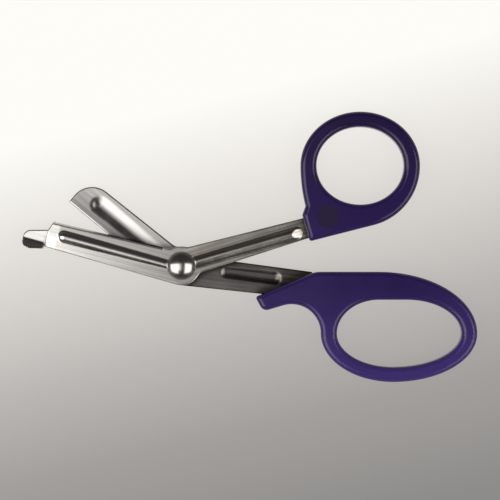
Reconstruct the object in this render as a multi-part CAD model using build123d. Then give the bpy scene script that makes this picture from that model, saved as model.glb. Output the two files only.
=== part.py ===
from build123d import *
import os
from collections import namedtuple
from math import atan2, cos, degrees, hypot, radians, sin, tan

# Bandage scissors lying on the back of the rivet and of both handles, jaws half open.
# Millimetres and degrees. The pivot axis is Z, the floor is z = 0, handles lie toward +X.

# Stamped blade sheet and the running gap between the two blades
SHEET = 1.6
BLADE_GAP = 0.05
BOSS_R = 7.8
ELBOW_R = 3.0
EDGE_ROUND = 0.3

# Lower blade, the front one: directions of its two arms, then places across each arm
LOWER_JAW_DIR = 165.0
LOWER_SHANK_DIR = 16.0
LOWER_EDGE_LENGTH = 53.9
LOWER_EDGE_HEEL = 5.5
LOWER_EDGE_TIP = 3.9
LOWER_SPINE_TIP = 6.7
LOWER_SHANK_TOP_INSET = 1.2
LOWER_SHANK_LOW_INSET = 2.8
LOWER_COLLAR_TOP = 4.9
LOWER_COLLAR_LOW = 3.4

# The lower jaw's outer face eases down toward its spine, more so toward the tip, and the tip is set inward
RELIEF_AT = 2.2
RELIEF_PAST_EDGE = 10.3
RELIEF_LENGTH = 56.2
RELIEF_EASE = 14.0
RELIEF_EASE_SLOPE = 0.6
RELIEF_SLOPE = 8.0
TIP_SET_PAST_BEAD = 0.2
TIP_SET = 2.4

# Blunt safety foot at the lower jaw's tip, its lower side folded outward into a flange
FOOT_SETBACK = 1.3
FOOT_LENGTH = 9.0
FOOT_STEP = 3.8
FOOT_DROOP = 2.4
FOOT_FOLD = 5.0
FOOT_FOLD_R = 2.0
FOOT_FOLD_ANGLE = 33.0
FOOT_HEEL_REACH = 7.7
FOOT_TOE_REACH = 9.8
FOOT_NOSE_R = 3.2
FOOT_TOE_R = 3.2

# Upper blade, the back one
UPPER_JAW_DIR = 140.5
UPPER_SHANK_DIR = -7.0
UPPER_EDGE_LENGTH = 51.0
UPPER_EDGE_HEEL = 9.2
UPPER_EDGE_TIP = 8.8
UPPER_SPINE_HEEL = 4.4
UPPER_SPINE_TIP = 3.5
UPPER_NOSE_R = 9.2
UPPER_HEEL_CUT = 4.0
UPPER_SHANK_TOP = 4.5
UPPER_COLLAR_TOP = 3.9
UPPER_COLLAR_LOW = 7.0

# Pressed beads. Those of the lower blade start under the rivet head, those of the upper one beside its tail,
# and all end short of the edge's end or the collar. Each rises along its length.
BEAD_UNDER_HEAD = 1.7
BEAD_BESIDE_TAIL = 4.0
LOWER_BEAD_RIM_R = 0.8
LOWER_BEAD_MOUTH_R = 1.0
LOWER_JAW_BEAD_START_H = 0.5
LOWER_JAW_BEAD_H = 1.0
LOWER_JAW_BEAD_W = 4.4
LOWER_JAW_BEAD_INSET = 3.3
LOWER_JAW_BEAD_MID = 1.0
UPPER_JAW_BEAD_START_H = 0.4
UPPER_JAW_BEAD_H = 0.6
UPPER_JAW_BEAD_W = 7.4
UPPER_JAW_BEAD_INSET = 6.5
UPPER_JAW_BEAD_MID = 2.0
UPPER_JAW_BEAD_RIM_R = 4.5
UPPER_JAW_BEAD_MOUTH_R = 8.0
LOWER_SHANK_BEAD_START_H = 0.8
LOWER_SHANK_BEAD_H = 1.0
LOWER_SHANK_BEAD_W = 4.7
LOWER_SHANK_BEAD_INSET = 2.0
LOWER_SHANK_BEAD_DROP = 0.2
LOWER_SHANK_BEAD_RAMP = 13.0
UPPER_SHANK_BEAD_START_H = 0.5
UPPER_SHANK_BEAD_H = 0.6
UPPER_SHANK_BEAD_W = 5.6
UPPER_SHANK_BEAD_SETBACK = 11.2
UPPER_SHANK_BEAD_INSET = 11.6
UPPER_SHANK_BEAD_DROP = 0.4
UPPER_SHANK_BEAD_RIM_R = 1.0
UPPER_SHANK_BEAD_MOUTH_R = 2.2

# Hollow grind of the upper jaw's inner face
GRIND_R = 170.0
GRIND_DEPTH = 0.14
GRIND_MID = 2.4

# Ground cutting edges
BEVEL_WIDTH = 0.8
BEVEL_LAND = 0.15
BEVEL_HEEL = 9.0
TOOTH_PITCH = 0.8
TOOTH_DEPTH = 0.2

# Rivet
RIVET_D = 5.0
RIVET_CLEAR = 0.05
RIVET_HEAD_D = 10.4
RIVET_HEAD_CLEAR = 0.3
RIVET_HEAD_RIM = 0.5
RIVET_HEAD_DOME = 1.7
RIVET_TAIL_D = 9.0
RIVET_TAIL_ROUND = 1.0

# Handles: common thickness and edge rounding
HANDLE_THICK = 8.4
HANDLE_ROUND = 1.9
CORNER_R = 1.0

# Thumb handle
COLLAR_AT = 52.0
COLLAR_TOP = 6.2
COLLAR_LOW = 4.8
THUMB_EDGE_DIR = 14.3
THUMB_HOLE_SETBACK = 20.1
THUMB_HOLE_W = 34.9
THUMB_HOLE_H = 31.0
THUMB_WALL_LOW = 9.6
THUMB_WALL_TOP = 6.1
THUMB_WALL_SIDE = 6.4
NECK_DEPTH = 1.3
NECK_RISE = 3.6
BADGE_D = 9.4
BADGE_DEPTH = 0.25
BADGE_SETBACK = 9.8
BADGE_ACROSS = 2.8

# Finger handle
FINGER_EDGE_Y = -2.4
SHOULDER_SETBACK = 1.4
FINGER_HOLE_SETBACK = 10.1
FINGER_FLAT_START = 16.9
FINGER_FLAT_END = 27.9
FINGER_LOWEST = 22.5
FINGER_HOLE_W = 49.8
FINGER_HOLE_H = 26.9
FINGER_WALL_TOP = 11.2
FINGER_WALL_RIGHT = 6.2
FINGER_WALL_LOW = 5.9
FINGER_WALL_LEFT = 6.4
INDEX_REST_R = 11.7
HOOK_DEPTH = 12.95
HOOK_AT = 30.8
HOOK_BELOW = 8.8
HOOK_UNDERSIDE = 8.4
HOOK_HEEL_EXTRA = 1.0
HOOK_SLOPE = 16.6
SHOULDER_R = 10.0

# Tangs inside the handles
TANG_WIDTH = 6.0
TANG_LENGTH = 14.0
TANG_HOLE_D = 3.0
TANG_STEP = 3.0
TANG_CORNER_R = 1.0

# Heights and places that follow from the sizes above
MID = HANDLE_THICK / 2
LOWER_INNER = MID + BLADE_GAP / 2
UPPER_INNER = MID - BLADE_GAP / 2
FOOT_START = LOWER_EDGE_LENGTH + FOOT_SETBACK
RELIEF_START = LOWER_EDGE_LENGTH + RELIEF_PAST_EDGE - RELIEF_LENGTH
TIP_SET_BACK = LOWER_JAW_BEAD_INSET - TIP_SET_PAST_BEAD
LOWER_SHANK_TOP = BOSS_R - LOWER_SHANK_TOP_INSET
LOWER_SHANK_LOW = BOSS_R - LOWER_SHANK_LOW_INSET

# Larger than the whole object, for cutting tools, and smaller than any feature, for finding edges
SPAN = 400.0
TOUCH = 0.01

# A bead: its arm's direction, its ends along the arm and its middle across it, its width at full height,
# its height at both ends, and the rounding of its rim outside and of its mouth inside
Bead = namedtuple("Bead", "angle start end middle width start_height height rim_r mouth_r")


def arm(angle):
    """Frame on the pivot whose x runs out along an arm."""
    return Location((0, 0, 0), (0, 0, angle))


def out(angle, along, across):
    """Point of an arm, given along it and to its left, in the frame of the whole object."""
    turn = radians(angle)
    return (along * cos(turn) - across * sin(turn), along * sin(turn) + across * cos(turn))


def filled(*edges):
    """Flat face inside a closed run of edges."""
    return make_face(Curve() + list(edges))


def polygon(*points):
    """Flat face inside straight sides."""
    return make_face(Polyline(*points, close=True))


def near(shape, *points):
    """Corners of a flat shape that stand at the given points."""
    return [min(shape.vertices(), key=lambda v, p=p: hypot(v.X - p[0], v.Y - p[1])) for p in points]


def bead_axis(bead):
    """Centre line and outer radius of a bead, which is a round bar with ball ends half sunk in the sheet."""
    radius = (bead.width**2 / 4 + bead.height**2) / (2 * bead.height)
    start_half = (2 * radius * bead.start_height - bead.start_height**2) ** 0.5
    near_end = (bead.start + start_half, bead.middle, SHEET + bead.start_height - radius)
    far_end = (bead.end - bead.width / 2, bead.middle, SHEET + bead.height - radius)
    return arm(bead.angle) * Line(near_end, far_end), radius


def capsule(axis, radius):
    """Round bar with ball ends along a line."""
    profile = filled(
        CenterArc((0, 0), radius, -90, 90),
        Line((radius, 0), (radius, axis.length)),
        CenterArc((0, axis.length), radius, 0, 90),
        Line((0, axis.length + radius), (0, -radius)),
    )
    return Plane(axis @ 0, z_dir=axis % 0) * revolve(Plane.XZ * profile, Axis.Z)


def bead_rim(blade, axis, radius, level):
    """Edges where a bead of one radius leaves the outer or the inner face of the sheet."""
    found = []
    for edge in blade.edges():
        spots = [edge @ share for share in (0, 0.5, 1)]
        on_bar = all(abs(axis.distance_to(spot) - radius) < TOUCH for spot in spots)
        if on_bar and abs(spots[1].Z - level) < SHEET / 4:
            found.append(edge)
    return found


def bevel_tool(angle, side, heel, tip, length):
    """Wedge ground off the outer face along a cutting edge."""
    tilt = degrees(atan2(tip - heel, length)) * side
    profile = polygon(
        (0, BEVEL_LAND),
        (0, -SHEET),
        (SHEET, -SHEET),
        (SHEET, 2 * SHEET),
        (-BEVEL_WIDTH, 2 * SHEET),
        (-BEVEL_WIDTH, SHEET),
    )
    section = Plane((0, 0, 0), x_dir=(0, side, 0), z_dir=(side, 0, 0)) * profile
    wedge = extrude(section, amount=2 * length * side)
    return arm(angle) * Pos(0, side * heel, 0) * Rot(0, 0, tilt) * Pos(BEVEL_HEEL, 0, 0) * wedge


def teeth_tool(angle, side, heel, tip, length):
    """Row of fine notches across a cutting edge."""
    tilt = degrees(atan2(tip - heel, length)) * side
    count = int((length - BEVEL_HEEL - TOOTH_PITCH) / TOOTH_PITCH)
    points = [(0, side * SHEET)]
    for tooth in range(count):
        points.append((tooth * TOOTH_PITCH, 0))
        points.append(((tooth + 0.5) * TOOTH_PITCH, -side * TOOTH_DEPTH))
    points.append((count * TOOTH_PITCH, 0))
    points.append((count * TOOTH_PITCH, side * SHEET))
    row = extrude(polygon(*points), amount=SHEET, both=True)
    return arm(angle) * Pos(0, side * heel, 0) * Rot(0, 0, tilt) * Pos(BEVEL_HEEL, 0, 0) * row


def tang(angle, top, low, collar_top, collar_low):
    """Shank from the pivot to its collar, then the narrow tang that the plastic holds."""
    step = COLLAR_AT + TANG_STEP
    end = COLLAR_AT + TANG_LENGTH
    middle = (collar_top - collar_low) / 2
    shank = polygon(
        (0, top),
        (COLLAR_AT, collar_top),
        (step, middle + TANG_WIDTH / 2),
        (end, middle + TANG_WIDTH / 2),
        (end, middle - TANG_WIDTH / 2),
        (step, middle - TANG_WIDTH / 2),
        (COLLAR_AT, -collar_low),
        (0, -low),
    )
    shank = fillet(near(shank, (end, middle + TANG_WIDTH / 2), (end, middle - TANG_WIDTH / 2)), TANG_CORNER_R)
    shank -= Pos((step + end) / 2, middle) * Circle(TANG_HOLE_D / 2)
    return arm(angle) * shank


def lower_outline():
    """Blank of the lower blade without its foot."""
    jaw = polygon(
        (0, -LOWER_EDGE_HEEL),
        (LOWER_EDGE_LENGTH, -LOWER_EDGE_TIP),
        (FOOT_START, FOOT_STEP - LOWER_EDGE_TIP),
        (FOOT_START, LOWER_SPINE_TIP),
        (0, BOSS_R),
    )
    shank = tang(LOWER_SHANK_DIR, LOWER_SHANK_TOP, LOWER_SHANK_LOW, LOWER_COLLAR_TOP, LOWER_COLLAR_LOW)
    blank = arm(LOWER_JAW_DIR) * jaw + Circle(BOSS_R) + shank
    corners = near(
        blank,
        out(LOWER_JAW_DIR, BOSS_R, -LOWER_EDGE_HEEL),
        out(LOWER_SHANK_DIR, BOSS_R, LOWER_SHANK_TOP),
        out(LOWER_SHANK_DIR, BOSS_R, -LOWER_SHANK_LOW),
    )
    return fillet(corners, ELBOW_R)


def safety_foot():
    """Blunt tongue whose lower side folds outward, away from the other blade."""
    end = FOOT_START + FOOT_LENGTH
    tongue_top = LOWER_EDGE_TIP - FOOT_STEP
    bend = (FOOT_FOLD, SHEET + FOOT_FOLD_R)
    under = CenterArc(bend, FOOT_FOLD_R + SHEET, -90, FOOT_FOLD_ANGLE)
    over = CenterArc(bend, FOOT_FOLD_R, -90, FOOT_FOLD_ANGLE)
    flange = Vector(FOOT_TOE_REACH, 0).rotate(Axis.Z, FOOT_FOLD_ANGLE)
    section = filled(
        Line((-tongue_top, 0), under @ 0),
        under,
        Line(under @ 1, under @ 1 + flange),
        Line(under @ 1 + flange, over @ 1 + flange),
        Line(over @ 1 + flange, over @ 1),
        over,
        Line(over @ 0, (-tongue_top, SHEET)),
        Line((-tongue_top, SHEET), (-tongue_top, 0)),
    )
    across = Plane((FOOT_START, 0, 0), x_dir=(0, 1, 0), z_dir=(1, 0, 0))
    folded = extrude(across * section, amount=FOOT_LENGTH)
    nose = (end, FOOT_DROOP - tongue_top)
    toe = (end, FOOT_TOE_REACH)
    plan = polygon((FOOT_START, -tongue_top), nose, toe, (FOOT_START, FOOT_HEEL_REACH))
    plan = fillet(near(plan, nose), FOOT_NOSE_R)
    plan = fillet(near(plan, toe), FOOT_TOE_R)
    return arm(LOWER_JAW_DIR) * (folded & extrude(plan, amount=SPAN))


def spine_relief():
    """Long wedge, twisted along the lower jaw, that is ground off the outer face beside the spine."""
    far = RELIEF_AT + BOSS_R
    sections = []
    stations = (
        (RELIEF_START, 0),
        (RELIEF_START + RELIEF_EASE, RELIEF_EASE_SLOPE),
        (RELIEF_START + RELIEF_LENGTH, RELIEF_SLOPE),
    )
    for along, slope in stations:
        drop = BOSS_R * tan(radians(slope))
        across = Plane((along, 0, 0), x_dir=(0, 1, 0), z_dir=(1, 0, 0))
        sections.append(across * polygon(
            (RELIEF_AT, SHEET), (far, SHEET - drop), (far, 2 * SHEET), (RELIEF_AT, 2 * SHEET)
        ))
    return arm(LOWER_JAW_DIR) * loft(sections)


def tip_set(blade):
    """Lower blade with its tip bent a little toward the other blade."""
    at = LOWER_EDGE_LENGTH - TIP_SET_BACK
    beyond = Pos(at, 0, 0) * Box(SPAN, SPAN, SPAN, align=(Align.MIN, Align.CENTER, Align.CENTER))
    straight = arm(-LOWER_JAW_DIR) * blade
    bend = Pos(at, 0, SHEET) * Rot(0, TIP_SET, 0) * Pos(-at, 0, -SHEET)
    return arm(LOWER_JAW_DIR) * ((straight - beyond) + bend * (straight & beyond))


def upper_outline():
    """Blank of the upper blade, square nosed with a rounded back corner."""
    jaw = polygon(
        (0, -UPPER_SPINE_HEEL),
        (UPPER_EDGE_LENGTH, -UPPER_SPINE_TIP),
        (UPPER_EDGE_LENGTH, UPPER_EDGE_TIP),
        (UPPER_HEEL_CUT, UPPER_EDGE_HEEL),
        (0, BOSS_R),
    )
    jaw = fillet(near(jaw, (UPPER_EDGE_LENGTH, -UPPER_SPINE_TIP)), UPPER_NOSE_R)
    shank = tang(UPPER_SHANK_DIR, UPPER_SHANK_TOP, BOSS_R, UPPER_COLLAR_TOP, UPPER_COLLAR_LOW)
    blank = arm(UPPER_JAW_DIR) * jaw + Circle(BOSS_R) + shank
    corners = near(
        blank,
        out(UPPER_JAW_DIR, BOSS_R, -UPPER_SPINE_HEEL),
        out(UPPER_SHANK_DIR, BOSS_R, UPPER_SHANK_TOP),
    )
    return fillet(corners, ELBOW_R)


def sheet(outline):
    """Flat blank with its inner face on z = 0 and rounded outer edges."""
    blank = extrude(outline, amount=SHEET)
    return fillet(blank.faces().sort_by(Axis.Z)[-1].outer_wire().edges(), EDGE_ROUND)


def stamped(blade, beads):
    """Blade with its beads raised on the outer face and the rivet hole through it."""
    outside = Pos(0, 0, SHEET / 2) * Box(SPAN, SPAN, SPAN, align=(Align.CENTER, Align.CENTER, Align.MIN))
    for bead in beads:
        axis, radius = bead_axis(bead)
        blade += capsule(axis, radius) & outside
        blade -= capsule(axis, radius - SHEET)
        blade = fillet(bead_rim(blade, axis, radius, SHEET), bead.rim_r)
        blade = fillet(bead_rim(blade, axis, radius - SHEET, 0), bead.mouth_r)
    return blade - Cylinder(RIVET_D / 2 + RIVET_CLEAR, SPAN)


def bead_ramp(bead, slope):
    """Wedge that planes a bead's far end down to the sheet on a slope."""
    above = Box(SPAN, SPAN, SPAN, align=(Align.MAX, Align.CENTER, Align.MIN))
    return arm(bead.angle) * Pos(bead.end, 0, SHEET) * Rot(0, slope, 0) * above


def lower_blade():
    under_head = RIVET_HEAD_D / 2 - BEAD_UNDER_HEAD
    jaw_bead = Bead(
        LOWER_JAW_DIR,
        under_head,
        LOWER_EDGE_LENGTH - LOWER_JAW_BEAD_INSET,
        LOWER_JAW_BEAD_MID,
        LOWER_JAW_BEAD_W,
        LOWER_JAW_BEAD_START_H,
        LOWER_JAW_BEAD_H,
        LOWER_BEAD_RIM_R,
        LOWER_BEAD_MOUTH_R,
    )
    shank_bead = Bead(
        LOWER_SHANK_DIR,
        under_head,
        COLLAR_AT - LOWER_SHANK_BEAD_INSET,
        -LOWER_SHANK_BEAD_DROP,
        LOWER_SHANK_BEAD_W,
        LOWER_SHANK_BEAD_START_H,
        LOWER_SHANK_BEAD_H,
        LOWER_BEAD_RIM_R,
        LOWER_BEAD_MOUTH_R,
    )
    blade = stamped(sheet(lower_outline()) - spine_relief(), (jaw_bead, shank_bead)) + safety_foot()
    blade -= bead_ramp(shank_bead, LOWER_SHANK_BEAD_RAMP)
    blade -= Pos(0, 0, SHEET) * Cylinder(
        RIVET_HEAD_D / 2 + RIVET_HEAD_CLEAR, SPAN, align=(Align.CENTER, Align.CENTER, Align.MIN)
    )
    blade -= bevel_tool(LOWER_JAW_DIR, -1, LOWER_EDGE_HEEL, LOWER_EDGE_TIP, LOWER_EDGE_LENGTH)
    blade -= teeth_tool(LOWER_JAW_DIR, -1, LOWER_EDGE_HEEL, LOWER_EDGE_TIP, LOWER_EDGE_LENGTH)
    return Pos(0, 0, LOWER_INNER) * tip_set(blade)


def hollow_grind():
    """Wide shallow cylinder that hollows the upper jaw's inner face between spine and edge."""
    wheel = Plane((RIVET_HEAD_D / 2, GRIND_MID, GRIND_DEPTH - GRIND_R), z_dir=(1, 0, 0)) * Cylinder(
        GRIND_R, UPPER_EDGE_LENGTH, align=(Align.CENTER, Align.CENTER, Align.MIN)
    )
    return arm(UPPER_JAW_DIR) * wheel


def upper_blade():
    beside_tail = RIVET_TAIL_D / 2 + BEAD_BESIDE_TAIL
    jaw_bead = Bead(
        UPPER_JAW_DIR,
        beside_tail,
        UPPER_EDGE_LENGTH - UPPER_JAW_BEAD_INSET,
        UPPER_JAW_BEAD_MID,
        UPPER_JAW_BEAD_W,
        UPPER_JAW_BEAD_START_H,
        UPPER_JAW_BEAD_H,
        UPPER_JAW_BEAD_RIM_R,
        UPPER_JAW_BEAD_MOUTH_R,
    )
    shank_bead = Bead(
        UPPER_SHANK_DIR,
        RIVET_TAIL_D / 2 + UPPER_SHANK_BEAD_SETBACK,
        COLLAR_AT - UPPER_SHANK_BEAD_INSET,
        -UPPER_SHANK_BEAD_DROP,
        UPPER_SHANK_BEAD_W,
        UPPER_SHANK_BEAD_START_H,
        UPPER_SHANK_BEAD_H,
        UPPER_SHANK_BEAD_RIM_R,
        UPPER_SHANK_BEAD_MOUTH_R,
    )
    blade = stamped(sheet(upper_outline()) - hollow_grind(), (jaw_bead, shank_bead))
    blade -= bevel_tool(UPPER_JAW_DIR, 1, UPPER_EDGE_HEEL, UPPER_EDGE_TIP, UPPER_EDGE_LENGTH)
    return Pos(0, 0, UPPER_INNER) * mirror(blade, about=Plane.XY)


def quarter(level, upright, angle):
    """Quarter ellipse from an angle on, between a point where it runs level and one where it is upright."""
    rx = abs(upright[0] - level[0])
    ry = abs(upright[1] - level[1])
    return EllipticalCenterArc((level[0], upright[1]), rx, ry, start_angle=angle, arc_size=90)


def moulded(outline, hole):
    """Handle of one thickness with rounded edges all round."""
    body = extrude(outline - hole, amount=HANDLE_THICK)
    faces = body.faces().filter_by(Axis.Z)
    return fillet(faces.edges(), HANDLE_ROUND)


def thumb_handle(blade):
    low_left = out(LOWER_SHANK_DIR, COLLAR_AT, -COLLAR_LOW)
    top_left = out(LOWER_SHANK_DIR, COLLAR_AT, COLLAR_TOP)
    slope = radians(THUMB_EDGE_DIR)
    hole_x = low_left[0] + THUMB_HOLE_SETBACK
    edge_y = low_left[1] + THUMB_HOLE_SETBACK * tan(slope)
    hole_y = edge_y + THUMB_WALL_LOW + THUMB_HOLE_H / 2
    rx = THUMB_HOLE_W / 2 + THUMB_WALL_SIDE
    ry = THUMB_HOLE_H / 2 + THUMB_WALL_TOP
    right = hole_x + rx
    left = hole_x - rx
    normal = (sin(slope), -cos(slope))
    reach = (low_left[0] - right) * normal[0] + (low_left[1] - hole_y) * normal[1]
    round_r = reach / (1 - normal[0])
    touch = (right - round_r + round_r * normal[0], hole_y + round_r * normal[1])
    neck = (top_left[0] + NECK_DEPTH, top_left[1] + NECK_RISE)
    outline = filled(
        Line(low_left, touch),
        TangentArc((right, hole_y), touch, tangent=(0, -1)),
        EllipticalCenterArc((hole_x, hole_y), rx, ry, start_angle=0, arc_size=180),
        TangentArc((left, hole_y), neck, tangent=(0, -1)),
        Line(neck, top_left),
        Line(top_left, low_left),
    )
    outline = fillet(near(outline, low_left, top_left, neck), CORNER_R)
    hole = Pos(hole_x, hole_y) * Ellipse(THUMB_HOLE_W / 2, THUMB_HOLE_H / 2)
    handle = moulded(outline, hole)
    badge = out(LOWER_SHANK_DIR, COLLAR_AT + BADGE_SETBACK, BADGE_ACROSS)
    handle -= Pos(badge[0], badge[1], HANDLE_THICK) * Cylinder(BADGE_D / 2, 2 * BADGE_DEPTH)
    return handle - blade


def finger_handle(blade):
    hole_top = FINGER_EDGE_Y - FINGER_WALL_TOP
    hole_low = hole_top - FINGER_HOLE_H
    hole_y = hole_top - FINGER_HOLE_H / 2
    hole_left = COLLAR_AT + FINGER_HOLE_SETBACK
    hole_right = hole_left + FINGER_HOLE_W
    flat_left = (hole_left + FINGER_FLAT_START, hole_top)
    flat_right = (hole_left + FINGER_FLAT_END, hole_top)
    bottom = (hole_left + FINGER_LOWEST, hole_low)
    hole = filled(
        quarter(flat_right, (hole_right, hole_y), 0),
        Line(flat_right, flat_left),
        quarter(flat_left, (hole_left, hole_y), 90),
        quarter(bottom, (hole_left, hole_y), 180),
        quarter(bottom, (hole_right, hole_y), 270),
    )
    start = (COLLAR_AT + SHOULDER_SETBACK, FINGER_EDGE_Y)
    edge_end = (flat_left[0], FINGER_EDGE_Y)
    right = (hole_right + FINGER_WALL_RIGHT, hole_y)
    lowest = (bottom[0], hole_low - FINGER_WALL_LOW)
    rest_y = FINGER_EDGE_Y - HOOK_DEPTH - INDEX_REST_R
    left = (hole_left - FINGER_WALL_LEFT, rest_y)
    swing = radians(90 + HOOK_SLOPE)
    rest_mid = (left[0] - INDEX_REST_R, rest_y)
    rest_end = (rest_mid[0] + INDEX_REST_R * cos(swing), rest_y + INDEX_REST_R * sin(swing))
    fall = radians(HOOK_SLOPE)
    heel = (rest_end[0] - HOOK_UNDERSIDE * cos(fall), rest_end[1] - HOOK_UNDERSIDE * sin(fall))
    tip = out(UPPER_SHANK_DIR, HOOK_AT, -HOOK_BELOW)
    outline = filled(
        Line(start, edge_end),
        quarter(edge_end, right, 0),
        quarter(lowest, right, 270),
        quarter(lowest, left, 180),
        CenterArc(rest_mid, INDEX_REST_R, 0, 90 + HOOK_SLOPE),
        Line(rest_end, heel),
        Line(heel, tip),
        Line(tip, start),
    )
    outline = fillet(near(outline, heel), HANDLE_ROUND + HOOK_HEEL_EXTRA)
    outline = fillet(near(outline, tip), CORNER_R)
    outline = fillet(near(outline, start), SHOULDER_R)
    return moulded(outline, hole) - blade


def pivot_rivet():
    seat = LOWER_INNER + SHEET
    tail = UPPER_INNER - SHEET - BLADE_GAP
    rim = seat + RIVET_HEAD_RIM
    crown = rim + RIVET_HEAD_DOME
    shank_r = RIVET_D / 2
    head_r = RIVET_HEAD_D / 2
    tail_r = RIVET_TAIL_D / 2
    foot_r = tail_r - RIVET_TAIL_ROUND
    profile = filled(
        Line((0, 0), (foot_r, 0)),
        TangentArc((foot_r, 0), (tail_r, RIVET_TAIL_ROUND), tangent=(1, 0)),
        Line((tail_r, RIVET_TAIL_ROUND), (tail_r, tail)),
        Line((tail_r, tail), (shank_r, tail)),
        Line((shank_r, tail), (shank_r, seat)),
        Line((shank_r, seat), (head_r, seat)),
        Line((head_r, seat), (head_r, rim)),
        TangentArc((0, crown), (head_r, rim), tangent=(1, 0)),
        Line((0, crown), (0, 0)),
    )
    return revolve(Plane.XZ * profile, Axis.Z)


lower = lower_blade()
upper = upper_blade()
pieces = {
    "lower_blade": lower,
    "upper_blade": upper,
    "thumb_handle": thumb_handle(lower),
    "finger_handle": finger_handle(upper),
    "pivot_rivet": pivot_rivet(),
}
os.makedirs("parts", exist_ok=True)
for name, piece in pieces.items():
    export_step(piece, f"parts/{name}.step")
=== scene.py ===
from math import radians

import bpy
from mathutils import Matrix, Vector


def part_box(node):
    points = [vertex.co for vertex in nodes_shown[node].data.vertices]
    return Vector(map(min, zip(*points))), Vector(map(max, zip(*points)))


# Bandage scissors on a pale floor, seen straight from above. Metres; the frame is the CAD model's.

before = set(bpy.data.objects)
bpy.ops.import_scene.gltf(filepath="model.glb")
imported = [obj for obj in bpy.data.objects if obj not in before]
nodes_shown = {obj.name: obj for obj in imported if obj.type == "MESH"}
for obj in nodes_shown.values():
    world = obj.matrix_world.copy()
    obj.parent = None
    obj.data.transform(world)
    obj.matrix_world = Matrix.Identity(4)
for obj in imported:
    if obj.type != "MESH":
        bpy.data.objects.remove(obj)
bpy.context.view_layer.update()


def srgb(red, green, blue):
    """Colour for a shader from the usual 0 to 255 values."""
    def linear(value):
        share = value / 255
        return share / 12.92 if share <= 0.04045 else ((share + 0.055) / 1.055) ** 2.4
    return (linear(red), linear(green), linear(blue), 1.0)


MM = 0.001

# Camera, straight above the middle of the view
VIEW_MIDDLE = (27.4 * MM, 6.3 * MM)
VIEW_WIDTH = 200 * MM
VIEW_LEVEL = 4.5 * MM
CAMERA_DISTANCE = 0.9
SENSOR = 36

# Directions of the blades' arms, in degrees from +X toward +Y
LOWER_JAW = 165.0
LOWER_SHANK = 16.0
UPPER_JAW = 140.5
UPPER_SHANK = -7.0
ARM_BLEND = 4 * MM

# Dull and bright tones of each blade's jaw and of its shank, which is less polished; the upper blade's
# tones are a darker copy of the same steel, painted shade that is strongest on its shank beside the lower
# blade
LOWER_TONES = (srgb(194, 191, 188), srgb(216, 215, 214), srgb(160, 152, 143), srgb(212, 209, 206))
UPPER_TONES_PAINTED_SHADE = (srgb(178, 175, 173), srgb(204, 203, 203), srgb(84, 77, 72), srgb(136, 132, 131))
WORN_EDGE = 0.9 * MM
WORN_SAMPLES = 8
# Painted shade: the steel's colour is darkened beside a piece that stands over it, where satin steel would
# mirror less light: its reach, and the share kept there
PAINTED_SHADE_REACH = 7 * MM
PAINTED_SHADE_OPEN = (0.74, 0.97)
PAINTED_SHADE_KEEPS = 0.3
PAINTED_SHADE_SAMPLES = 16
FINE_STREAK = (16 * MM, 0.25 * MM)
BROAD_STREAK = (60 * MM, 1.2 * MM)
STREAK_DEPTH = 0.004 * MM
STREAK_STRENGTH = 0.5
STEEL_CLOUD = 90
STEEL_ROUGH = (0.10, 0.18)
CLOUD_ROUGH = 0.05
SHANK_SATIN = 0.04

# Rivet
RIVET_TONES = (srgb(172, 169, 166), srgb(190, 188, 186))
RIVET_CLOUD = 500
RIVET_ROUGH = (0.16, 0.24)
SCRATCH_SCALE = (4000, 300, 300)
SCRATCH_DEPTH = 0.003 * MM
SCRATCH_STRENGTH = 0.4

# Handles
HANDLE_MIDDLE = (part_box("thumb_handle")[0].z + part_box("thumb_handle")[1].z) / 2
PARTING_LINE = 0.12 * MM
PARTING_HEIGHT = 0.08 * MM
PLASTIC_CLOUD = 60
PLASTIC_GRAIN = 6000
GRAIN_DEPTH = 0.01 * MM
GRAIN_STRENGTH = 0.25
PLASTIC_ROUGH = (0.14, 0.19)
PLASTIC_IOR = 1.49
PLASTIC_SPECULAR = 0.38
# Painted light: each moulding's tone runs from dark to light along Y, lighter toward the near side, and the
# finger handle is a lighter copy of the same purple; tones of each moulding, and the places along Y where
# it is darkest and lightest
THUMB_PAINTED_LIGHT_TONES = (srgb(35, 21, 63), srgb(46, 29, 90))
THUMB_PAINTED_LIGHT_RUN = (58 * MM, 14 * MM)
FINGER_PAINTED_LIGHT_TONES = (srgb(42, 27, 82), srgb(65, 49, 119))
FINGER_PAINTED_LIGHT_RUN = (-8 * MM, -34 * MM)
# Round recess on the thumb handle, bare and matt
BADGE_AT = (58.6 * MM, 19.7 * MM)
BADGE_R = 4.7 * MM
BADGE_SOFT = 0.3 * MM
BADGE_ROUGH = 0.24
BADGE_TONE = srgb(34, 21, 62)

# Soft lights, as angles from overhead toward +X and toward +Y: from, to, from, to, softness, brightness
LEFT_LIGHT = (-60, -20, -42, 10, 6, 2.8)
RIGHT_LIGHT = (18, 54, -42, 12, 6, 2.6)
# Glow overhead that grows toward the left light: angles where it starts and is full, its sides, brightness
TOP_GLOW = (1.7, -12.8)
TOP_GLOW_SIDES = (-24, 30, -25, 10, 6, 1.9)
# Brightness of the room overhead and of its walls, the heights where one turns to the other, and the colour
ROOM = 0.05
WALLS = 0.6
WALL_TOP = (0.05, 0.45)
LIGHT_TONE = srgb(255, 252, 248)

# Floor, and the shades of its pale sweep by distance toward its dark corner
FLOOR_SIZE = 6.0
FLOOR_LEAN = 0.24
FLOOR_SHADES = (
    (-63.7 * MM, (255, 254, 249)),
    (-12.9 * MM, (224, 220, 216)),
    (36.3 * MM, (188, 184, 181)),
    (71.1 * MM, (165, 161, 158)),
    (119.0 * MM, (142, 141, 139)),
)
FLOOR_GLOW = 0.92
FLOOR_ROUGH = 0.9


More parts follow.
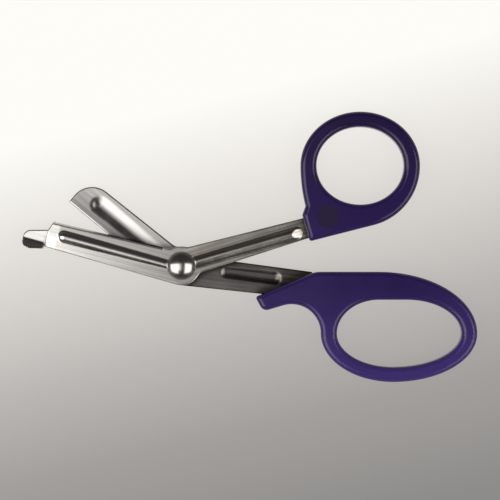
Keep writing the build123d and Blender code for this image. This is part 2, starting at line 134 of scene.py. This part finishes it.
class Nodes:
    """Short way to add nodes to one tree and join them."""

    def __init__(self, tree):
        self.tree = tree

    def add(self, kind, inputs=None, **settings):
        node = self.tree.nodes.new(kind)
        for name, value in settings.items():
            setattr(node, name, value)
        for name, value in (inputs or {}).items():
            self.put(node.inputs[name], value)
        return node

    def put(self, socket, value):
        if isinstance(value, bpy.types.NodeSocket):
            self.tree.links.new(value, socket)
        else:
            socket.default_value = value

    def math(self, operation, first, second=0.0):
        return self.add("ShaderNodeMath", {0: first, 1: second}, operation=operation).outputs[0]

    def span(self, value, low, high, to_low=0.0, to_high=1.0, kind="LINEAR"):
        """Value carried from one range to another, and held at its ends."""
        inputs = {"Value": value, "From Min": low, "From Max": high, "To Min": to_low, "To Max": to_high}
        return self.add("ShaderNodeMapRange", inputs, interpolation_type=kind).outputs["Result"]

    def noise(self, vector, scale, detail=3.0, roughness=0.5):
        inputs = {"Vector": vector, "Scale": scale, "Detail": detail, "Roughness": roughness}
        return self.add("ShaderNodeTexNoise", inputs).outputs["Fac"]

    def mix_value(self, share, first, second):
        node = self.add("ShaderNodeMix", {"Factor": share, 2: first, 3: second}, data_type="FLOAT")
        return node.outputs[0]

    def mix_colour(self, share, first, second):
        node = self.add("ShaderNodeMix", {"Factor": share, 6: first, 7: second}, data_type="RGBA")
        return node.outputs[2]

    def bump(self, height, distance, strength=1.0, over=None):
        """Normal of small relief, laid over another normal where one is given."""
        inputs = {"Height": height, "Distance": distance, "Strength": strength}
        if over is not None:
            inputs["Normal"] = over
        return self.add("ShaderNodeBump", inputs).outputs["Normal"]


def material(name):
    """New material, its node helper and its main shader."""
    made = bpy.data.materials.new(name)
    made.use_nodes = True
    return made, Nodes(made.node_tree), made.node_tree.nodes["Principled BSDF"]


def dress(node, made):
    """Give a CAD piece its material."""
    for slot in nodes_shown[node].material_slots:
        slot.material = made


def brushed(nodes, place, angle, along, across):
    """Streaks of one length and width that run along one arm of a blade."""
    turned = nodes.add("ShaderNodeMapping", {
        "Vector": place, "Rotation": (0, 0, radians(angle)), "Scale": (along, across, across),
    }, vector_type="TEXTURE")
    return nodes.noise(turned.outputs["Vector"], 1.0, detail=4.0, roughness=0.6)


def blade_steel(name, jaw, shank, tones):
    """Polished sheet with fine streaks along the jaw and along the duller shank, softened edges, and
    painted shade beside pieces that stand over it.
    """
    made, nodes, shader = material(name)
    place = nodes.add("ShaderNodeTexCoord").outputs["Object"]
    x = nodes.add("ShaderNodeSeparateXYZ", {"Vector": place}).outputs["X"]
    on_shank = nodes.span(x, -ARM_BLEND, ARM_BLEND, kind="SMOOTHSTEP")
    fine = nodes.mix_value(
        on_shank, brushed(nodes, place, jaw, *FINE_STREAK), brushed(nodes, place, shank, *FINE_STREAK)
    )
    broad = nodes.mix_value(
        on_shank, brushed(nodes, place, jaw, *BROAD_STREAK), brushed(nodes, place, shank, *BROAD_STREAK)
    )
    cloud = nodes.noise(place, STEEL_CLOUD)
    tone = nodes.math("ADD", nodes.span(broad, 0.35, 0.65, 0.0, 0.8), nodes.span(cloud, 0.3, 0.7, 0.0, 0.2))
    colour = nodes.mix_colour(
        on_shank, nodes.mix_colour(tone, tones[0], tones[1]), nodes.mix_colour(tone, tones[2], tones[3])
    )
    # Painted shade: the colour is darkened where another piece stands close over the steel
    opened = nodes.add("ShaderNodeAmbientOcclusion", {"Distance": PAINTED_SHADE_REACH}, samples=PAINTED_SHADE_SAMPLES)
    painted_shade_share = nodes.span(opened.outputs["AO"], *PAINTED_SHADE_OPEN, PAINTED_SHADE_KEEPS, 1.0)
    colour_with_painted_shade = nodes.add("ShaderNodeVectorMath", {0: colour, "Scale": painted_shade_share}, operation="SCALE")
    satin = nodes.span(on_shank, 0.0, 1.0, 0.0, SHANK_SATIN)
    patches = nodes.span(cloud, 0.35, 0.7, 0.0, CLOUD_ROUGH)
    rough = nodes.math("ADD", nodes.math("ADD", nodes.span(fine, 0.3, 0.7, *STEEL_ROUGH), patches), satin)
    nodes.put(shader.inputs["Base Color"], colour_with_painted_shade.outputs["Vector"])
    nodes.put(shader.inputs["Roughness"], rough)
    edges = nodes.add("ShaderNodeBevel", {"Radius": WORN_EDGE}, samples=WORN_SAMPLES).outputs["Normal"]
    nodes.put(shader.inputs["Normal"], nodes.bump(fine, STREAK_DEPTH, STREAK_STRENGTH, over=edges))
    shader.inputs["Metallic"].default_value = 1.0
    return made


def rivet_steel():
    """Bright rivet with faint scratches."""
    made, nodes, shader = material("polished_rivet")
    place = nodes.add("ShaderNodeTexCoord").outputs["Object"]
    cloud = nodes.noise(place, RIVET_CLOUD)
    drawn = nodes.add("ShaderNodeMapping", {"Vector": place, "Scale": SCRATCH_SCALE}).outputs["Vector"]
    scratch = nodes.noise(drawn, 1.0)
    nodes.put(shader.inputs["Base Color"], nodes.mix_colour(cloud, *RIVET_TONES))
    nodes.put(shader.inputs["Roughness"], nodes.span(scratch, 0.3, 0.7, *RIVET_ROUGH))
    nodes.put(shader.inputs["Normal"], nodes.bump(scratch, SCRATCH_DEPTH, SCRATCH_STRENGTH))
    shader.inputs["Metallic"].default_value = 1.0
    return made


def handle_plastic(name, tones, painted_light_run):
    """Smooth purple moulding with a soft gloss, a faint grain, a parting line round its middle, and painted
    light that grades its tone along Y.
    """
    made, nodes, shader = material(name)
    place = nodes.add("ShaderNodeTexCoord").outputs["Object"]
    spot = nodes.add("ShaderNodeSeparateXYZ", {"Vector": place}).outputs
    cloud = nodes.span(nodes.noise(place, PLASTIC_CLOUD, detail=5.0), 0.3, 0.7)
    grain = nodes.noise(place, PLASTIC_GRAIN, detail=2.0)
    from_middle = nodes.math("ABSOLUTE", nodes.math("SUBTRACT", spot["Z"], HANDLE_MIDDLE))
    ridge = nodes.span(from_middle, 0.0, PARTING_LINE, 1.0, 0.0, kind="SMOOTHSTEP")
    aside = nodes.math("SUBTRACT", spot["X"], BADGE_AT[0])
    ahead = nodes.math("SUBTRACT", spot["Y"], BADGE_AT[1])
    squares = nodes.math("ADD", nodes.math("POWER", aside, 2.0), nodes.math("POWER", ahead, 2.0))
    apart = nodes.math("SQRT", squares)
    badge = nodes.span(apart, BADGE_R - BADGE_SOFT, BADGE_R, 1.0, 0.0)
    badge = nodes.math("MULTIPLY", badge, nodes.math("GREATER_THAN", spot["Z"], HANDLE_MIDDLE))
    # Painted light: the tone grades from dark to light along Y
    tone = nodes.math("ADD", nodes.span(spot["Y"], *painted_light_run, 0.0, 0.8), nodes.span(cloud, 0.0, 1.0, 0.0, 0.2))
    colour = nodes.mix_colour(badge, nodes.mix_colour(tone, *tones), BADGE_TONE)
    rough = nodes.mix_value(badge, nodes.span(cloud, 0.0, 1.0, *PLASTIC_ROUGH), BADGE_ROUGH)
    nodes.put(shader.inputs["Base Color"], colour)
    nodes.put(shader.inputs["Roughness"], rough)
    skin = nodes.bump(grain, GRAIN_DEPTH, GRAIN_STRENGTH)
    nodes.put(shader.inputs["Normal"], nodes.bump(ridge, PARTING_HEIGHT, over=skin))
    shader.inputs["IOR"].default_value = PLASTIC_IOR
    shader.inputs["Specular IOR Level"].default_value = PLASTIC_SPECULAR
    return made


def floor():
    """Pale floor, darker toward the near side, which keeps a faint shadow."""
    mesh = bpy.data.meshes.new("floor")
    half = FLOOR_SIZE / 2
    mesh.from_pydata(
        [(-half, -half, 0), (half, -half, 0), (half, half, 0), (-half, half, 0)], [], [(0, 1, 2, 3)]
    )
    plane = bpy.data.objects.new("floor", mesh)
    bpy.context.scene.collection.objects.link(plane)
    made, nodes, shader = material("pale_floor")
    place = nodes.add("ShaderNodeTexCoord").outputs["Object"]
    spot = nodes.add("ShaderNodeSeparateXYZ", {"Vector": place}).outputs
    reach = nodes.math("SUBTRACT", nodes.math("MULTIPLY", spot["X"], FLOOR_LEAN), spot["Y"])
    first, last = FLOOR_SHADES[0][0], FLOOR_SHADES[-1][0]
    ramp = nodes.add("ShaderNodeValToRGB", {"Fac": nodes.span(reach, first, last)})
    stops = ramp.color_ramp.elements
    while len(stops) < len(FLOOR_SHADES):
        stops.new(0.5)
    for stop, (distance, shade) in zip(stops, FLOOR_SHADES):
        stop.position = (distance - first) / (last - first)
        stop.color = srgb(*shade)
    nodes.put(shader.inputs["Base Color"], ramp.outputs["Color"])
    shader.inputs["Roughness"].default_value = FLOOR_ROUGH
    shader.inputs["Specular IOR Level"].default_value = 0.0
    path = nodes.add("ShaderNodeLightPath").outputs
    seen = nodes.math("MAXIMUM", path["Is Camera Ray"], path["Is Glossy Ray"])
    seen = nodes.math("MAXIMUM", seen, path["Is Transmission Ray"])
    glow = nodes.add("ShaderNodeEmission", {"Color": ramp.outputs["Color"], "Strength": 1.0})
    mixed = nodes.add("ShaderNodeMixShader", {
        0: nodes.math("MULTIPLY", seen, FLOOR_GLOW), 1: shader.outputs["BSDF"], 2: glow.outputs["Emission"],
    })
    nodes.put(made.node_tree.nodes["Material Output"].inputs["Surface"], mixed.outputs[0])
    mesh.materials.append(made)


def window(nodes, value, low, high, soft):
    """One between two angles and nothing outside them, with soft edges."""
    low, high, half = radians(low), radians(high), radians(soft) / 2
    rise = nodes.span(value, low - half, low + half, kind="SMOOTHSTEP")
    fall = nodes.span(value, high - half, high + half, 1.0, 0.0, kind="SMOOTHSTEP")
    return nodes.math("MULTIPLY", rise, fall)


def panel(nodes, along, across, light):
    """Soft rectangular light, seen from the object between four angles."""
    left, right, near, far, soft, radiance = light
    width = window(nodes, along, left, right, soft)
    depth = window(nodes, across, near, far, soft)
    return nodes.math("MULTIPLY", nodes.math("MULTIPLY", width, depth), radiance)


def studio():
    """Dim room with soft lights at the left and the right and a glow overhead; the far side stays dark."""
    world = bpy.data.worlds.new("room")
    world.use_nodes = True
    bpy.context.scene.world = world
    nodes = Nodes(world.node_tree)
    way = nodes.add("ShaderNodeTexCoord").outputs["Generated"]
    axes = nodes.add("ShaderNodeSeparateXYZ", {"Vector": way}).outputs
    along = nodes.math("ARCTAN2", axes["X"], axes["Z"])
    across = nodes.math("ARCTAN2", axes["Y"], axes["Z"])
    light = nodes.span(axes["Z"], *WALL_TOP, WALLS, ROOM, kind="SMOOTHSTEP")
    light = nodes.math("ADD", light, panel(nodes, along, across, LEFT_LIGHT))
    light = nodes.math("ADD", light, panel(nodes, along, across, RIGHT_LIGHT))
    glow = nodes.span(along, radians(TOP_GLOW[0]), radians(TOP_GLOW[1]))
    glow = nodes.math("MULTIPLY", glow, panel(nodes, along, across, TOP_GLOW_SIDES))
    back = world.node_tree.nodes["Background"]
    nodes.put(back.inputs["Strength"], nodes.math("ADD", light, glow))
    back.inputs["Color"].default_value = LIGHT_TONE


def camera():
    """Long lens straight above, with +Y at the top of the picture."""
    lens = bpy.data.cameras.new("camera")
    lens.sensor_width = SENSOR
    lens.lens = SENSOR * CAMERA_DISTANCE / VIEW_WIDTH
    eye = bpy.data.objects.new("camera", lens)
    eye.location = (VIEW_MIDDLE[0], VIEW_MIDDLE[1], VIEW_LEVEL + CAMERA_DISTANCE)
    bpy.context.scene.collection.objects.link(eye)
    bpy.context.scene.camera = eye


dress("lower_blade", blade_steel("lower_blade_steel", LOWER_JAW, LOWER_SHANK, LOWER_TONES))
# Painted shade: the upper blade gets darker tones of the same steel
dress("upper_blade", blade_steel("upper_blade_steel", UPPER_JAW, UPPER_SHANK, UPPER_TONES_PAINTED_SHADE))
dress("pivot_rivet", rivet_steel())
dress("thumb_handle", handle_plastic("thumb_purple", THUMB_PAINTED_LIGHT_TONES, THUMB_PAINTED_LIGHT_RUN))
dress("finger_handle", handle_plastic("finger_purple", FINGER_PAINTED_LIGHT_TONES, FINGER_PAINTED_LIGHT_RUN))
floor()
studio()
camera()
bpy.context.scene.view_settings.view_transform = "Standard"
